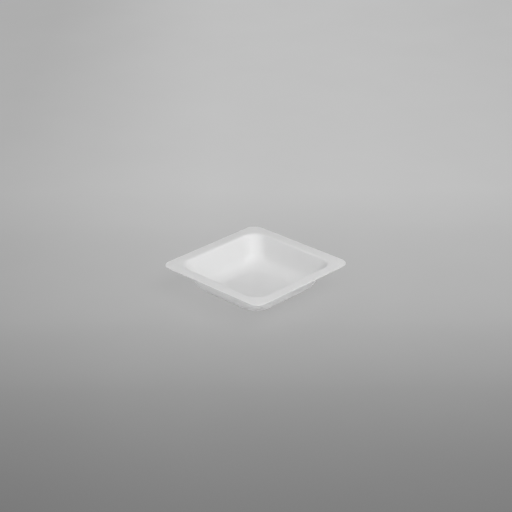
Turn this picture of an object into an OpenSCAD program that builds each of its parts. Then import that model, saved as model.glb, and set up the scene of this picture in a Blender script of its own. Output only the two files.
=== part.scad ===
// Small square weighing boat: a shallow dish, vacuum formed from one thin plastic sheet.
// It has a flat bottom, four leaning walls with rounded corners, and a rim that is
// die-cut to a rounded square. Lengths are in millimetres and angles in degrees.

/* [Rim] */
// Width of the square, over the rim
boat_w = 41.3; // [36:0.1:60]
// Width of the rim, from its edge to where the slope of the wall would meet it
rim_w = 3.7; // [2.5:0.1:6]
// Corner radius of the rim's outline
rim_corner_r = 3.4; // [2:0.1:8]
// Angle by which the rim droops towards its edge
rim_droop = 0; // [0:0.5:6]

/* [Bowl] */
// Height of the top of the rim above the table
boat_h = 9.1; // [6:0.1:12]
// Lean of the walls, away from upright
wall_lean = 23; // [15:0.5:30]
// Corner radius at the opening, seen from above
opening_corner_r = 4.8; // [3:0.1:8]
// Corner radius at the bottom, seen from above
floor_corner_r = 5.4; // [3:0.1:7]
// Inner radius of the blend between wall and bottom
floor_blend_r = 5.6; // [2:0.1:6]
// Radius of the shoulder between wall and rim, on the upper face
shoulder_r = 0.8; // [0.6:0.1:1.6]

/* [Sheet] */
// Thickness of the sheet
sheet_t = 0.3; // [0.2:0.05:0.5]

/* [Smoothness] */
// Flats round each corner
corner_steps = 12; // [8:1:24]
// Flats up the blend between bottom and wall
blend_steps = 7; // [6:1:12]
// Flats over the shoulder
shoulder_steps = 6; // [4:1:10]

/* [Hidden] */

// The sheet is formed wider than the rim, and this much is cut away
trim_allowance = 2;

// Slope of the walls above level, and the half widths where they would meet
// the top of the rim and the floor if nothing were rounded
wall_slope = 90 - wall_lean;
opening_half = boat_w / 2 - rim_w;
floor_half = opening_half - (boat_h - sheet_t) * tan(wall_lean);

// Centres of the two blends, from the middle of the boat
blend_centre = floor_half - floor_blend_r * tan(wall_slope / 2);
shoulder_centre = opening_half + shoulder_r * tan(wall_slope / 2);

// A station of the section is [distance from the middle, height, slope] on the upper face
function blend_station(slope) = [
    blend_centre + floor_blend_r * sin(slope),
    sheet_t + floor_blend_r * (1 - cos(slope)),
    slope
];

function shoulder_station(slope) = [
    shoulder_centre - shoulder_r * sin(slope),
    boat_h - shoulder_r * (1 - cos(slope)),
    slope
];

function rim_end(from, half) = [
    half,
    from[1] - (half - from[0]) * tan(rim_droop),
    -rim_droop
];

// The section of the upper face, from the flat of the floor out to the uncut sheet
blend = [for (i = [0 : blend_steps]) blend_station(wall_slope * i / blend_steps)];
shoulder = [
    for (i = [0 : shoulder_steps])
        shoulder_station(wall_slope - (wall_slope + rim_droop) * i / shoulder_steps)
];
section = concat(
    blend,
    shoulder,
    [rim_end(shoulder[shoulder_steps], boat_w / 2 + trim_allowance)]
);

// Corner radius of the upper face, which changes evenly with height
function corner_r(height) =
    let (share = (height - sheet_t) / (boat_h - sheet_t))
    floor_corner_r + (opening_corner_r - floor_corner_r) * share;

// Points of a rounded square, counter-clockwise from above
function rounded_square(half, r, height) = [
    for (quarter = [0 : 3], i = [0 : corner_steps])
        let (
            turn = 90 * (quarter + i / corner_steps),
            middle = 45 + 90 * quarter,
            reach = (half - r) * sqrt(2)
        )
        [
            reach * cos(middle) + r * cos(turn),
            reach * sin(middle) + r * sin(turn),
            height
        ]
];

// The loop round the boat at one station, at a depth below the upper face
function loop_at(station, depth) =
    let (
        outward = depth * sin(station[2]),
        downward = depth * cos(station[2])
    )
    rounded_square(
        station[0] + outward,
        min(corner_r(station[1]), station[0]) + outward,
        station[1] - downward
    );

// A closed solid through loops that all have the same number of points
module loft(loops) {
    count = len(loops[0]);
    last = len(loops) - 1;
    first_cap = [for (i = [0 : count - 1]) count - 1 - i];
    last_cap = [for (i = [0 : count - 1]) last * count + i];
    sides = [
        for (ring = [0 : last - 1], i = [0 : count - 1])
            let (next = (i + 1) % count)
            [
                ring * count + i,
                ring * count + next,
                (ring + 1) * count + next,
                (ring + 1) * count + i
            ]
    ];
    polyhedron(
        points = [for (loop = loops) each loop],
        faces = concat([first_cap], sides, [last_cap])
    );
}

// The formed sheet: down its lower face from the rim, and back up its upper face
module formed_sheet() {
    stations = len(section);
    upper = [for (i = [0 : stations - 1]) loop_at(section[i], 0)];
    lower = [for (i = [1 : stations]) loop_at(section[stations - i], sheet_t)];
    loft(concat(upper, lower));
}

// The outline that the rim is cut to
module rim_outline() {
    inset = boat_w / 2 - rim_corner_r;
    square([boat_w, 2 * inset], center = true);
    square([2 * inset, boat_w], center = true);
    for (x = [-inset, inset], y = [-inset, inset])
        translate([x, y])
            circle(r = rim_corner_r, $fn = 4 * corner_steps);
}

module boat() {
    color("white")
        intersection() {
            formed_sheet();
            translate([0, 0, -trim_allowance])
                linear_extrude(boat_h + 2 * trim_allowance)
                    rim_outline();
        }
}

boat();
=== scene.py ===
"""A small square weighing boat of white plastic sheet, on a pale table under soft light.

The dish is modelled from its section: the floor is a rounded square whose edge is
extruded up through the blend, the wall, the shoulder and the rim, and the surface is
then given the thickness of the sheet.
"""

import math

import bmesh
import bpy
from mathutils import Matrix, Vector


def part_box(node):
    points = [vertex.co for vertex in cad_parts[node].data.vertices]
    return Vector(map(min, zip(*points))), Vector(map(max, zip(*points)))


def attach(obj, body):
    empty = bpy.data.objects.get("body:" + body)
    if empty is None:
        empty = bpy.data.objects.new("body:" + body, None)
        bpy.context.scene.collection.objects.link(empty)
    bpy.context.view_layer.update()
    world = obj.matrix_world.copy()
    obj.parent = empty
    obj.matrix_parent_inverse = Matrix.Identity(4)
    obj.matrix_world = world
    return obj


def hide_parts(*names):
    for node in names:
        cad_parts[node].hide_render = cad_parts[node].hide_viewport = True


bl_info = {
    "name": "Weighing Boat",
    "version": (1, 0, 0),
    "blender": (4, 5, 0),
    "location": "View3D > Sidebar > Weighing Boat",
    "description": "Builds a small square weighing boat and the table that it stands on",
    "category": "Add Mesh",
}

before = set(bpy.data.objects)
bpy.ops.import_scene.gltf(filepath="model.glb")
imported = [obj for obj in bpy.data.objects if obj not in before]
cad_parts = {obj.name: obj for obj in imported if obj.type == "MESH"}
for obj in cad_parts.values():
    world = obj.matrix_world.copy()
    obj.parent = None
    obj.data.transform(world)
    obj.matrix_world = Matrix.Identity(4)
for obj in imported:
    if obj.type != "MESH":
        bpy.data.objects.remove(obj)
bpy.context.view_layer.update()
LOW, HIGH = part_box("boat")

# Lengths are in metres
MM = 0.001


# ---------------------------------------------------------------------------
# Sizes and colours
# ---------------------------------------------------------------------------


class BoatShape(bpy.types.PropertyGroup):
    """Sizes of the dish."""

    width: bpy.props.FloatProperty(
        name="Width",
        description="Width of the square, over the rim",
        default=HIGH.x - LOW.x,
        unit="LENGTH",
    )
    height: bpy.props.FloatProperty(
        name="Height",
        description="Height of the top of the rim above the table",
        default=HIGH.z - LOW.z,
        unit="LENGTH",
    )
    rim_width: bpy.props.FloatProperty(
        name="Rim width",
        description="From the rim's edge to where the slope of the wall would meet it",
        default=3.7 * MM,
        unit="LENGTH",
    )
    rim_corner: bpy.props.FloatProperty(
        name="Rim corner",
        description="Corner radius of the rim's outline",
        default=3.4 * MM,
        unit="LENGTH",
    )
    rim_droop: bpy.props.FloatProperty(
        name="Rim droop",
        description="Angle by which the rim droops towards its edge",
        default=0.0,
        subtype="ANGLE",
    )
    wall_lean: bpy.props.FloatProperty(
        name="Wall lean",
        description="Lean of the walls, away from upright",
        default=math.radians(23),
        subtype="ANGLE",
    )
    opening_corner: bpy.props.FloatProperty(
        name="Opening corner",
        description="Corner radius at the opening, seen from above",
        default=4.8 * MM,
        unit="LENGTH",
    )
    floor_corner: bpy.props.FloatProperty(
        name="Floor corner",
        description="Corner radius at the bottom, seen from above",
        default=5.4 * MM,
        unit="LENGTH",
    )
    floor_blend: bpy.props.FloatProperty(
        name="Floor blend",
        description="Inner radius of the blend between wall and bottom",
        default=5.6 * MM,
        unit="LENGTH",
    )
    shoulder: bpy.props.FloatProperty(
        name="Shoulder",
        description="Radius between wall and rim, on the upper face",
        default=0.8 * MM,
        unit="LENGTH",
    )
    sheet: bpy.props.FloatProperty(
        name="Sheet",
        description="Thickness of the plastic sheet",
        default=0.3 * MM,
        unit="LENGTH",
    )
    cut_edge: bpy.props.FloatProperty(
        name="Cut edge",
        description="How far the die-cut edge of the rim is softened",
        default=0.06 * MM,
        unit="LENGTH",
    )


class BoatFinish(bpy.types.PropertyGroup):
    """Look of the plastic."""

    colour: bpy.props.FloatVectorProperty(
        name="Colour",
        description="Colour of the plastic",
        subtype="COLOR",
        size=3,
        default=(0.94, 0.94, 0.94),
    )
    edge_colour: bpy.props.FloatVectorProperty(
        name="Edge colour",
        description="Colour of the die-cut edge, which is duller than the formed face",
        subtype="COLOR",
        size=3,
        default=(0.8, 0.8, 0.8),
    )
    through: bpy.props.FloatProperty(
        name="See-through",
        description="Share of the light that goes through each face of the sheet",
        subtype="FACTOR",
        default=0.35,
    )
    roughness: bpy.props.FloatProperty(
        name="Roughness",
        description="Roughness of the formed face",
        subtype="FACTOR",
        default=0.38,
    )


class StageLook(bpy.types.PropertyGroup):
    """The table, the lamps and the camera."""

    table_colour: bpy.props.FloatVectorProperty(
        name="Table",
        description="Colour of the table paper behind the boat",
        subtype="COLOR",
        size=3,
        default=(0.55, 0.55, 0.55),
    )
    table_bounce: bpy.props.FloatVectorProperty(
        name="Table bounce",
        description="Colour of the table paper as the boat sees it, which lights its underside",
        subtype="COLOR",
        size=3,
        default=(0.84, 0.84, 0.84),
    )
    table_glow: bpy.props.FloatProperty(
        name="Table glow",
        description="Share of the table's look that is its own light, which softens the shadow",
        subtype="FACTOR",
        default=0.87,
    )
    backdrop: bpy.props.FloatVectorProperty(
        name="Backdrop",
        description="Colour seen beyond the table, which lights nothing but reflections",
        subtype="COLOR",
        size=3,
        default=(0.4, 0.4, 0.4),
    )
    view_turn: bpy.props.FloatProperty(
        name="View turn",
        description="Angle of the camera round the boat, from square on to a side",
        subtype="ANGLE",
        default=math.radians(44.2),
    )
    view_height: bpy.props.FloatProperty(
        name="View height",
        description="Angle of the camera above the table",
        subtype="ANGLE",
        default=math.radians(25.9),
    )
    view_distance: bpy.props.FloatProperty(
        name="View distance",
        description="Distance of the camera from the middle of the opening",
        unit="LENGTH",
        default=438.2 * MM,
    )
    view_roll: bpy.props.FloatProperty(
        name="View roll",
        description="How far the camera leans to the left",
        subtype="ANGLE",
        default=math.radians(-0.35),
    )
    lens: bpy.props.FloatProperty(
        name="Lens",
        description="Focal length of the camera in millimetres",
        default=100.0,
    )


# ---------------------------------------------------------------------------
# The dish
# ---------------------------------------------------------------------------

# Flats round each corner, and the section's flats from the floor out to the edge of the rim
CORNER_STEPS = 24
BLEND_STEPS = 16
WALL_STEPS = 6
SHOULDER_STEPS = 12
RIM_STEPS = 4

# The die-cut edge is softened where the sheet turns by more than this angle
CUT_EDGE_STEPS = 2
CUT_EDGE_ANGLE = math.radians(60)

# Grain and soft mottling of each finish, as (size, depth)
FACE_GRAIN = (0.35 * MM, 0.02)
FACE_MOTTLE = (5 * MM, 0.03)
CUT_GRAIN = (0.15 * MM, 0.06)
CUT_MOTTLE = (2 * MM, 0.03)
PAPER_GRAIN = (0.5 * MM, 0.03)
PAPER_MOTTLE = (30 * MM, 0.04)

# Marks drawn down the walls, and marks of the blade: how many to a metre, the detail in them
# and their stretch along each axis
DRAW_MARKS = (900, 2, (1, 1, 0.12))
BLADE_MARKS = (2500, 1, (1, 1, 0.1))

# Depth of the relief of each finish
FACE_RELIEF = 0.03 * MM
CUT_RELIEF = 0.02 * MM
PAPER_RELIEF = 0.02 * MM

# How far the formed face's roughness swings below and above its own value, the lowest and the
# highest roughness of the cut edge, and the plastic's index of refraction
FACE_ROUGHNESS_SWING = (-0.04, 0.06)
CUT_ROUGHNESS = (0.5, 0.75)
PLASTIC_IOR = 1.55

# Values between which the draw marks and the grain mostly lie, the share of the mottling in the
# gloss, and the share of the grain in the relief
MARK_RANGE = (0.3, 0.7)
GRAIN_RANGE = (-0.3, 0.3)
MOTTLE_IN_GLOSS = 0.25
GRAIN_IN_RELIEF = 0.3


def dish_section(shape):
    """Stations of the upper face as (half width, height, corner radius), from the floor out."""
    slope = math.pi / 2 - shape.wall_lean
    depth = shape.height - shape.sheet
    opening_half = shape.width / 2 - shape.rim_width
    floor_half = opening_half - depth * math.tan(shape.wall_lean)
    blend_centre = floor_half - shape.floor_blend * math.tan(slope / 2)
    shoulder_centre = opening_half + shape.shoulder * math.tan(slope / 2)

    def corner(height):
        share = (height - shape.sheet) / depth
        return shape.floor_corner + (shape.opening_corner - shape.floor_corner) * share

    def blend(angle):
        return (
            blend_centre + shape.floor_blend * math.sin(angle),
            shape.sheet + shape.floor_blend * (1 - math.cos(angle)),
        )

    def shoulder(angle):
        return (
            shoulder_centre - shape.shoulder * math.sin(angle),
            shape.height - shape.shoulder * (1 - math.cos(angle)),
        )

    points = [blend(slope * i / BLEND_STEPS) for i in range(BLEND_STEPS + 1)]
    foot, brow = Vector(points[-1]), Vector(shoulder(slope))
    points += [foot.lerp(brow, i / WALL_STEPS) for i in range(1, WALL_STEPS)]
    turn = slope + shape.rim_droop
    points += [shoulder(slope - turn * i / SHOULDER_STEPS) for i in range(SHOULDER_STEPS + 1)]
    stations = [(half, height, corner(height)) for half, height in points]

    half, height, radius = stations[-1]
    edge = shape.width / 2
    for i in range(1, RIM_STEPS + 1):
        share = i / RIM_STEPS
        out = (edge - half) * share
        stations.append(
            (
                half + out,
                height - out * math.tan(shape.rim_droop),
                radius + (shape.rim_corner - radius) * share,
            )
        )
    return stations


def corner_groups(verts):
    """The points of a loop, by the corner of the square that they belong to."""
    groups = {(x, y): [] for x in (-1, 1) for y in (-1, 1)}
    for vert in verts:
        key = (1 if vert.co.x > 0 else -1, 1 if vert.co.y > 0 else -1)
        groups[key].append(vert)
    return groups


def move_loop(bm, verts, old, new):
    """Takes a rounded-square loop from one station of the section to the next."""
    old_half, old_height, old_radius = old
    new_half, new_height, new_radius = new
    grow = new_radius / old_radius
    shift = (new_half - new_radius) - (old_half - old_radius)
    for (x, y), corner in corner_groups(verts).items():
        centre = Vector((x, y, 0)) * (old_half - old_radius)
        bmesh.ops.scale(bm, vec=(grow, grow, 1), space=Matrix.Translation(-centre), verts=corner)
        bmesh.ops.translate(bm, vec=(x * shift, y * shift, new_height - old_height), verts=corner)


def rounded_floor(bm, station):
    """The flat of the floor, a square face with rounded corners."""
    half, height, radius = station
    bmesh.ops.create_grid(bm, x_segments=1, y_segments=1, size=half)
    bmesh.ops.translate(bm, vec=(0, 0, height), verts=bm.verts)
    bmesh.ops.bevel(
        bm,
        geom=bm.verts[:],
        offset=radius,
        offset_type="OFFSET",
        segments=CORNER_STEPS,
        profile=0.5,
        affect="VERTICES",
        material=-1,
    )


def extrude_section(bm, stations):
    """Extrudes the floor's edge through the stations, out to the edge of the rim."""
    edges = [edge for edge in bm.edges if edge.is_boundary]
    for old, new in zip(stations, stations[1:]):
        made = bmesh.ops.extrude_edge_only(bm, edges=edges)["geom"]
        verts = [item for item in made if isinstance(item, bmesh.types.BMVert)]
        edges = [
            item
            for item in made
            if isinstance(item, bmesh.types.BMEdge) and item.is_boundary
        ]
        move_loop(bm, verts, old, new)


def model_dish(shape):
    """The upper face of the dish as one smooth mesh, not yet with its thickness."""
    bm = bmesh.new()
    stations = dish_section(shape)
    rounded_floor(bm, stations[0])
    extrude_section(bm, stations)
    bmesh.ops.recalc_face_normals(bm, faces=bm.faces[:])
    if sum(face.normal.z for face in bm.faces) < 0:
        bmesh.ops.reverse_faces(bm, faces=bm.faces[:])
    mesh = bpy.data.meshes.new("boat_dish")
    bm.to_mesh(mesh)
    bm.free()
    mesh.shade_smooth()
    return mesh


def texture_coordinate(tree):
    """Object coordinates of the piece, in metres."""
    return tree.nodes.new("ShaderNodeTexCoord").outputs["Object"]


def marks(tree, vector, per_metre, detail, stretch):
    """A mask of fine marks, drawn out along an axis where stretch is under 1."""
    mapping = tree.nodes.new("ShaderNodeMapping")
    mapping.inputs["Scale"].default_value = stretch
    field = tree.nodes.new("ShaderNodeTexNoise")
    field.inputs["Scale"].default_value = per_metre
    field.inputs["Detail"].default_value = detail
    tree.links.new(vector, mapping.inputs["Vector"])
    tree.links.new(mapping.outputs["Vector"], field.inputs["Vector"])
    return field.outputs["Fac"]


def math_node(tree, operation, first, second):
    """A Math node; either side is a socket or a number."""
    node = tree.nodes.new("ShaderNodeMath")
    node.operation = operation
    for socket, value in zip(node.inputs, (first, second)):
        if isinstance(value, bpy.types.NodeSocket):
            tree.links.new(value, socket)
        else:
            socket.default_value = value
    return node.outputs[0]


def spread(tree, mask, low, high, to_low, to_high):
    """Takes a mask from one range of values to another."""
    node = tree.nodes.new("ShaderNodeMapRange")
    tree.links.new(mask, node.inputs["Value"])
    ends = (("From Min", low), ("From Max", high), ("To Min", to_low), ("To Max", to_high))
    for name, value in ends:
        node.inputs[name].default_value = value
    return node.outputs["Result"]


def scaled(tree, colour, shade):
    """A colour multiplied by a shade; both are sockets."""
    node = tree.nodes.new("ShaderNodeVectorMath")
    node.operation = "SCALE"
    tree.links.new(colour, node.inputs[0])
    tree.links.new(shade, node.inputs["Scale"])
    return node.outputs["Vector"]


def mixed_shader(tree, share, first, second):
    """Mixes two shaders; share is a socket or a number, and all of it is the second at 1."""
    node = tree.nodes.new("ShaderNodeMixShader")
    if isinstance(share, bpy.types.NodeSocket):
        tree.links.new(share, node.inputs["Fac"])
    else:
        node.inputs["Fac"].default_value = share
    tree.links.new(first, node.inputs[1])
    tree.links.new(second, node.inputs[2])
    return node.outputs["Shader"]


def grain_group():
    """Fine grain over soft mottling, for the plastic, its cut edge and the table paper."""
    group = bpy.data.node_groups.new("fine_grain", "ShaderNodeTree")
    face = group.interface
    for name, kind in (
        ("Position", "NodeSocketVector"),
        ("Colour", "NodeSocketColor"),
        ("Grain size", "NodeSocketFloat"),
        ("Grain depth", "NodeSocketFloat"),
        ("Mottle size", "NodeSocketFloat"),
        ("Mottle depth", "NodeSocketFloat"),
    ):
        face.new_socket(name, in_out="INPUT", socket_type=kind)
    for name, kind in (
        ("Colour", "NodeSocketColor"),
        ("Grain", "NodeSocketFloat"),
        ("Mottle", "NodeSocketFloat"),
    ):
        face.new_socket(name, in_out="OUTPUT", socket_type=kind)
    given = group.nodes.new("NodeGroupInput").outputs
    result = group.nodes.new("NodeGroupOutput").inputs

    def layer(size, detail):
        field = group.nodes.new("ShaderNodeTexNoise")
        field.inputs["Detail"].default_value = detail
        group.links.new(given["Position"], field.inputs["Vector"])
        group.links.new(math_node(group, "DIVIDE", 1.0, given[size]), field.inputs["Scale"])
        return math_node(group, "SUBTRACT", field.outputs["Fac"], 0.5)

    grain, mottle = layer("Grain size", detail=3.0), layer("Mottle size", detail=2.0)
    shade = math_node(
        group,
        "ADD",
        math_node(group, "MULTIPLY", grain, given["Grain depth"]),
        math_node(group, "MULTIPLY", mottle, given["Mottle depth"]),
    )
    tint = scaled(group, given["Colour"], math_node(group, "ADD", shade, 1.0))
    group.links.new(tint, result["Colour"])
    group.links.new(grain, result["Grain"])
    group.links.new(mottle, result["Mottle"])
    return group


def grained(tree, position, colour, grain, mottle):
    """Places the grain group; grain and mottle are each a size in metres and a depth."""
    node = tree.nodes.new("ShaderNodeGroup")
    node.node_tree = bpy.data.node_groups.get("fine_grain") or grain_group()
    node.inputs["Colour"].default_value = (*colour, 1)
    for name, (size, depth) in (("Grain", grain), ("Mottle", mottle)):
        node.inputs[f"{name} size"].default_value = size
        node.inputs[f"{name} depth"].default_value = depth
    tree.links.new(position, node.inputs["Position"])
    return node.outputs


def bump(tree, height, distance):
    """A normal from a height that runs over about one unit; distance is in metres."""
    node = tree.nodes.new("ShaderNodeBump")
    node.inputs["Distance"].default_value = distance
    tree.links.new(height, node.inputs["Height"])
    return node.outputs["Normal"]


def new_material(name):
    """A material, with its node tree and its Principled shader."""
    material = bpy.data.materials.new(name)
    material.use_nodes = True
    return material, material.node_tree, material.node_tree.nodes["Principled BSDF"]


def finish_plastic(tree, shader, colour, share):
    """Sets the plastic's gloss, and adds the light that comes through the thin sheet."""
    shader.inputs["IOR"].default_value = PLASTIC_IOR
    through = tree.nodes.new("ShaderNodeBsdfTranslucent")
    through.inputs["Color"].default_value = (*colour, 1)
    surface = mixed_shader(tree, share, shader.outputs["BSDF"], through.outputs["BSDF"])
    tree.links.new(surface, tree.nodes["Material Output"].inputs["Surface"])


def sheet_material(finish):
    """Satin white plastic: fine grain, soft unevenness and faint marks drawn down the walls."""
    material, tree, shader = new_material("white_sheet")
    position = texture_coordinate(tree)
    out = grained(tree, position, finish.colour, FACE_GRAIN, FACE_MOTTLE)
    soft_gloss = math_node(tree, "MULTIPLY", out["Mottle"], MOTTLE_IN_GLOSS)
    gloss = math_node(tree, "ADD", soft_gloss, marks(tree, position, *DRAW_MARKS))
    fine_relief = math_node(tree, "MULTIPLY", out["Grain"], GRAIN_IN_RELIEF)
    relief = math_node(tree, "ADD", fine_relief, out["Mottle"])
    smoothest, roughest = (finish.roughness + swing for swing in FACE_ROUGHNESS_SWING)
    roughness = spread(tree, gloss, *MARK_RANGE, smoothest, roughest)
    tree.links.new(out["Colour"], shader.inputs["Base Color"])
    tree.links.new(roughness, shader.inputs["Roughness"])
    tree.links.new(bump(tree, relief, FACE_RELIEF), shader.inputs["Normal"])
    finish_plastic(tree, shader, finish.colour, finish.through)
    return material


def edge_material(finish):
    """The die-cut edge: duller and rougher than the face, with fine marks from the blade."""
    material, tree, shader = new_material("cut_edge")
    position = texture_coordinate(tree)
    out = grained(tree, position, finish.edge_colour, CUT_GRAIN, CUT_MOTTLE)
    blade_marks = marks(tree, position, *BLADE_MARKS)
    roughness = spread(tree, out["Grain"], *GRAIN_RANGE, *CUT_ROUGHNESS)
    tree.links.new(out["Colour"], shader.inputs["Base Color"])
    tree.links.new(roughness, shader.inputs["Roughness"])
    tree.links.new(bump(tree, blade_marks, CUT_RELIEF), shader.inputs["Normal"])
    finish_plastic(tree, shader, finish.edge_colour, finish.through / 2)
    return material


class BOAT_OT_dish(bpy.types.Operator):
    """Model the dish and give it its plastic"""

    bl_idname = "boat.dish"
    bl_label = "Dish"

    def execute(self, context):
        shape = context.scene.boat_shape
        dish = bpy.data.objects.new("boat_dish", model_dish(shape))
        context.scene.collection.objects.link(dish)
        dish.data.materials.append(sheet_material(context.scene.boat_finish))
        dish.data.materials.append(edge_material(context.scene.boat_finish))
        thickness = dish.modifiers.new("sheet", "SOLIDIFY")
        thickness.thickness = shape.sheet
        thickness.offset = -1
        thickness.use_even_offset = True
        thickness.material_offset_rim = 1
        softened = dish.modifiers.new("cut edge", "BEVEL")
        softened.width = shape.cut_edge
        softened.segments = CUT_EDGE_STEPS
        softened.limit_method = "ANGLE"
        softened.angle_limit = CUT_EDGE_ANGLE
        softened.harden_normals = True
        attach(dish, "root")
        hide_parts("boat")
        return {"FINISHED"}


# ---------------------------------------------------------------------------
# The stage
# ---------------------------------------------------------------------------

# The round table top lies a hair below the boat, and its paper is rough with little shine
TABLE_RADIUS = 2.0
TABLE_SIDES = 96
TABLE_GAP = 0.02 * MM
PAPER_ROUGHNESS = 0.9
PAPER_SHINE = 0.2

# Painted shade on the table paper, standing in for light that falls off: darker towards the front
# and towards the left. Each stop is (distance from the boat's middle, share of the table's colour)
PAINTED_FALLOFF_AWAY = (
    (-120 * MM, 0.39),
    (-60 * MM, 0.59),
    (-20 * MM, 0.79),
    (50 * MM, 0.935),
    (150 * MM, 1.12),
)
PAINTED_FALLOFF_ACROSS = ((-100 * MM, 0.81), (-30 * MM, 0.98), (40 * MM, 1.0), (120 * MM, 0.95))

# Softboxes as (name, degrees to the right of the camera's side, degrees above the table, watts)
SOFTBOXES = (
    ("key", 45, 55, 19.8),
    ("front", 330, 32, 6.9),
    ("low front", 342, 9, 3.9),
    ("right", 90, 20, 4.4),
    ("back", 240, 32, 3.4),
)
LAMP_DISTANCE = 1.6
LAMP_WIDTH = 1.2

# Where the camera aims, to the right of and above the middle of the opening in its own view
AIM = Vector((0.12 * MM, 2.33 * MM, 0))
NEAREST_SEEN = 0.01
FURTHEST_SEEN = 20


def painted_falloff(tree, position, direction, stops):
    """A painted shade that goes smoothly through the stops, by distance along a direction on the
    table.
    """
    along = tree.nodes.new("ShaderNodeVectorMath")
    along.operation = "DOT_PRODUCT"
    along.inputs[1].default_value = direction
    tree.links.new(position, along.inputs[0])
    low, high = stops[0][0], stops[-1][0]
    ramp = tree.nodes.new("ShaderNodeValToRGB")
    ramp.color_ramp.interpolation = "CARDINAL"
    while len(ramp.color_ramp.elements) < len(stops):
        ramp.color_ramp.elements.new(0.5)
    for element, (distance, shade) in zip(ramp.color_ramp.elements, stops):
        element.position = (distance - low) / (high - low)
        element.color = (shade, shade, shade, 1)
    tree.links.new(spread(tree, along.outputs["Value"], low, high, 0, 1), ramp.inputs["Fac"])
    return ramp.outputs["Color"]


def looked_at(tree):
    """1 for a ray from the camera, or one that a mirror or clear glass has sent on, else 0."""
    rays = tree.nodes.new("ShaderNodeLightPath").outputs
    sent_on = math_node(tree, "MAXIMUM", rays["Is Glossy Ray"], rays["Is Transmission Ray"])
    sharp = math_node(tree, "SUBTRACT", 1.0, rays["Is Diffuse Ray"])
    sent_on = math_node(tree, "MULTIPLY", sent_on, sharp)
    return math_node(tree, "MAXIMUM", rays["Is Camera Ray"], sent_on)


def paper_material(look):
    """Paper with painted shade, darker towards the front and the left, and clear to the camera
    from below.
    """
    material, tree, shader = new_material("table_paper")
    position = texture_coordinate(tree)
    away = (-math.sin(look.view_turn), math.cos(look.view_turn), 0)
    across = (math.cos(look.view_turn), math.sin(look.view_turn), 0)
    # Painted shade standing in for light that falls off towards the front and the left of the
    # table
    shade = math_node(
        tree,
        "MULTIPLY",
        painted_falloff(tree, position, away, PAINTED_FALLOFF_AWAY),
        painted_falloff(tree, position, across, PAINTED_FALLOFF_ACROSS),
    )
    out = grained(tree, position, look.table_colour, PAPER_GRAIN, PAPER_MOTTLE)
    shaded = scaled(tree, out["Colour"], shade)
    tree.links.new(bump(tree, out["Grain"], PAPER_RELIEF), shader.inputs["Normal"])
    shader.inputs["Roughness"].default_value = PAPER_ROUGHNESS
    shader.inputs["Specular IOR Level"].default_value = PAPER_SHINE

    # The boat gets an even bounce from the table, and only what looks at the table sees its
    # painted shade
    in_view = looked_at(tree)
    seen_colour = tree.nodes.new("ShaderNodeMix")
    seen_colour.data_type = "RGBA"
    tree.links.new(in_view, seen_colour.inputs["Factor"])
    seen_colour.inputs["A"].default_value = (*look.table_bounce, 1)
    tree.links.new(shaded, seen_colour.inputs["B"])
    tree.links.new(seen_colour.outputs["Result"], shader.inputs["Base Color"])
    # The table glows with its painted shade, which softens the shadow on it
    glow = tree.nodes.new("ShaderNodeEmission")
    tree.links.new(shaded, glow.inputs["Color"])
    glow_share = math_node(tree, "MULTIPLY", in_view, look.table_glow)
    lit = mixed_shader(tree, glow_share, shader.outputs["BSDF"], glow.outputs["Emission"])

    below = tree.nodes.new("ShaderNodeNewGeometry").outputs["Backfacing"]
    camera_ray = tree.nodes.new("ShaderNodeLightPath").outputs["Is Camera Ray"]
    clear = tree.nodes.new("ShaderNodeBsdfTransparent").outputs["BSDF"]
    surface = mixed_shader(tree, math_node(tree, "MULTIPLY", camera_ray, below), lit, clear)
    tree.links.new(surface, tree.nodes["Material Output"].inputs["Surface"])
    return material


def add_table(look):
    """A wide round table top, a hair below the boat."""
    bm = bmesh.new()
    bmesh.ops.create_circle(bm, cap_ends=True, segments=TABLE_SIDES, radius=TABLE_RADIUS)
    bmesh.ops.translate(bm, vec=(0, 0, -TABLE_GAP), verts=bm.verts)
    mesh = bpy.data.meshes.new("table")
    bm.to_mesh(mesh)
    bm.free()
    table = bpy.data.objects.new("table", mesh)
    bpy.context.scene.collection.objects.link(table)
    table.data.materials.append(paper_material(look))


def outward(turn, height):
    """The direction from the boat to a lamp or the camera, turned round it and raised."""
    level = math.cos(height)
    return Vector((math.sin(turn) * level, -math.cos(turn) * level, math.sin(height)))


def facing_back(direction):
    """The turn of a lamp or camera that looks back along a direction, with its top upwards."""
    return direction.to_track_quat("Z", "Y").to_matrix().to_4x4()


def add_softbox(name, direction, power):
    """A square soft lamp that faces the boat from a direction."""
    lamp = bpy.data.lights.new(name, "AREA")
    lamp.shape = "SQUARE"
    lamp.size = LAMP_WIDTH
    lamp.energy = power
    holder = bpy.data.objects.new(name, lamp)
    holder.matrix_world = Matrix.Translation(direction * LAMP_DISTANCE) @ facing_back(direction)
    bpy.context.scene.collection.objects.link(holder)


def add_camera(look, target):
    """The camera, turned round the boat and looking down into it."""
    back = outward(look.view_turn, look.view_height)
    lens = bpy.data.cameras.new("camera")
    lens.lens = look.lens
    lens.clip_start = NEAREST_SEEN
    lens.clip_end = FURTHEST_SEEN
    camera = bpy.data.objects.new("camera", lens)
    aim = facing_back(back) @ AIM
    spot = target + back * look.view_distance
    gaze = facing_back(spot - (target + aim))
    camera.matrix_world = Matrix.Translation(spot) @ gaze @ Matrix.Rotation(look.view_roll, 4, "Z")
    bpy.context.scene.collection.objects.link(camera)
    bpy.context.scene.camera = camera


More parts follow.
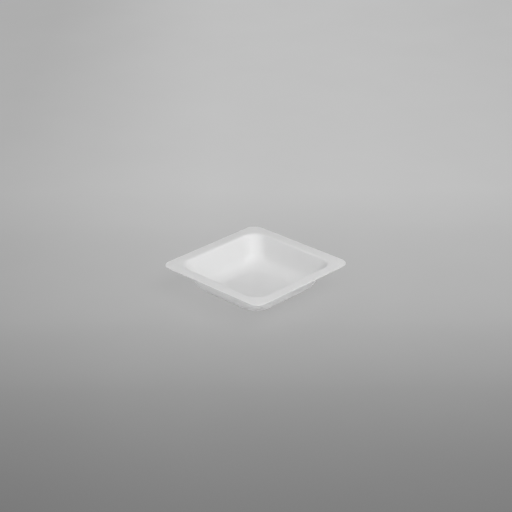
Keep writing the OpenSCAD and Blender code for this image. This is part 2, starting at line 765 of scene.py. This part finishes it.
def add_world(look):
    """A plain pale backdrop all round, which lights nothing but reflections."""
    world = bpy.data.worlds.new("studio")
    world.use_nodes = True
    background = world.node_tree.nodes["Background"]
    background.inputs["Color"].default_value = (*look.backdrop, 1)
    world.node_tree.links.new(looked_at(world.node_tree), background.inputs["Strength"])
    bpy.context.scene.world = world


class BOAT_OT_stage(bpy.types.Operator):
    """Set the table, the lamps and the camera"""

    bl_idname = "boat.stage"
    bl_label = "Stage"

    def execute(self, context):
        look = context.scene.boat_stage
        shape = context.scene.boat_shape
        add_table(look)
        add_world(look)
        for name, turn, height, power in SOFTBOXES:
            direction = outward(look.view_turn + math.radians(turn), math.radians(height))
            add_softbox(name, direction, power)
        add_camera(look, Vector((0, 0, shape.height)))
        context.scene.view_settings.view_transform = "Standard"
        return {"FINISHED"}


# ---------------------------------------------------------------------------
# Panel and registration
# ---------------------------------------------------------------------------


class BOAT_PT_panel(bpy.types.Panel):
    """Lists the steps that build the boat and its stage"""

    bl_idname = "BOAT_PT_panel"
    bl_label = "Weighing Boat"
    bl_space_type = "VIEW_3D"
    bl_region_type = "UI"
    bl_category = "Weighing Boat"

    def draw(self, context):
        scene = context.scene
        for group in (scene.boat_shape, scene.boat_finish, scene.boat_stage):
            box = self.layout.box()
            for name in group.__annotations__:
                box.prop(group, name)
        self.layout.operator(BOAT_OT_dish.bl_idname)
        self.layout.operator(BOAT_OT_stage.bl_idname)


CLASSES = (BoatShape, BoatFinish, StageLook, BOAT_OT_dish, BOAT_OT_stage, BOAT_PT_panel)


def register():
    """Makes the classes and their settings known to Blender."""
    for cls in CLASSES:
        bpy.utils.register_class(cls)
    bpy.types.Scene.boat_shape = bpy.props.PointerProperty(type=BoatShape)
    bpy.types.Scene.boat_finish = bpy.props.PointerProperty(type=BoatFinish)
    bpy.types.Scene.boat_stage = bpy.props.PointerProperty(type=StageLook)


def unregister():
    """Takes them out again."""
    del bpy.types.Scene.boat_stage
    del bpy.types.Scene.boat_finish
    del bpy.types.Scene.boat_shape
    for cls in reversed(CLASSES):
        bpy.utils.unregister_class(cls)


def main():
    """Builds the boat on its stage."""
    register()
    bpy.ops.boat.dish()
    bpy.ops.boat.stage()


if __name__ == "__main__":
    main()
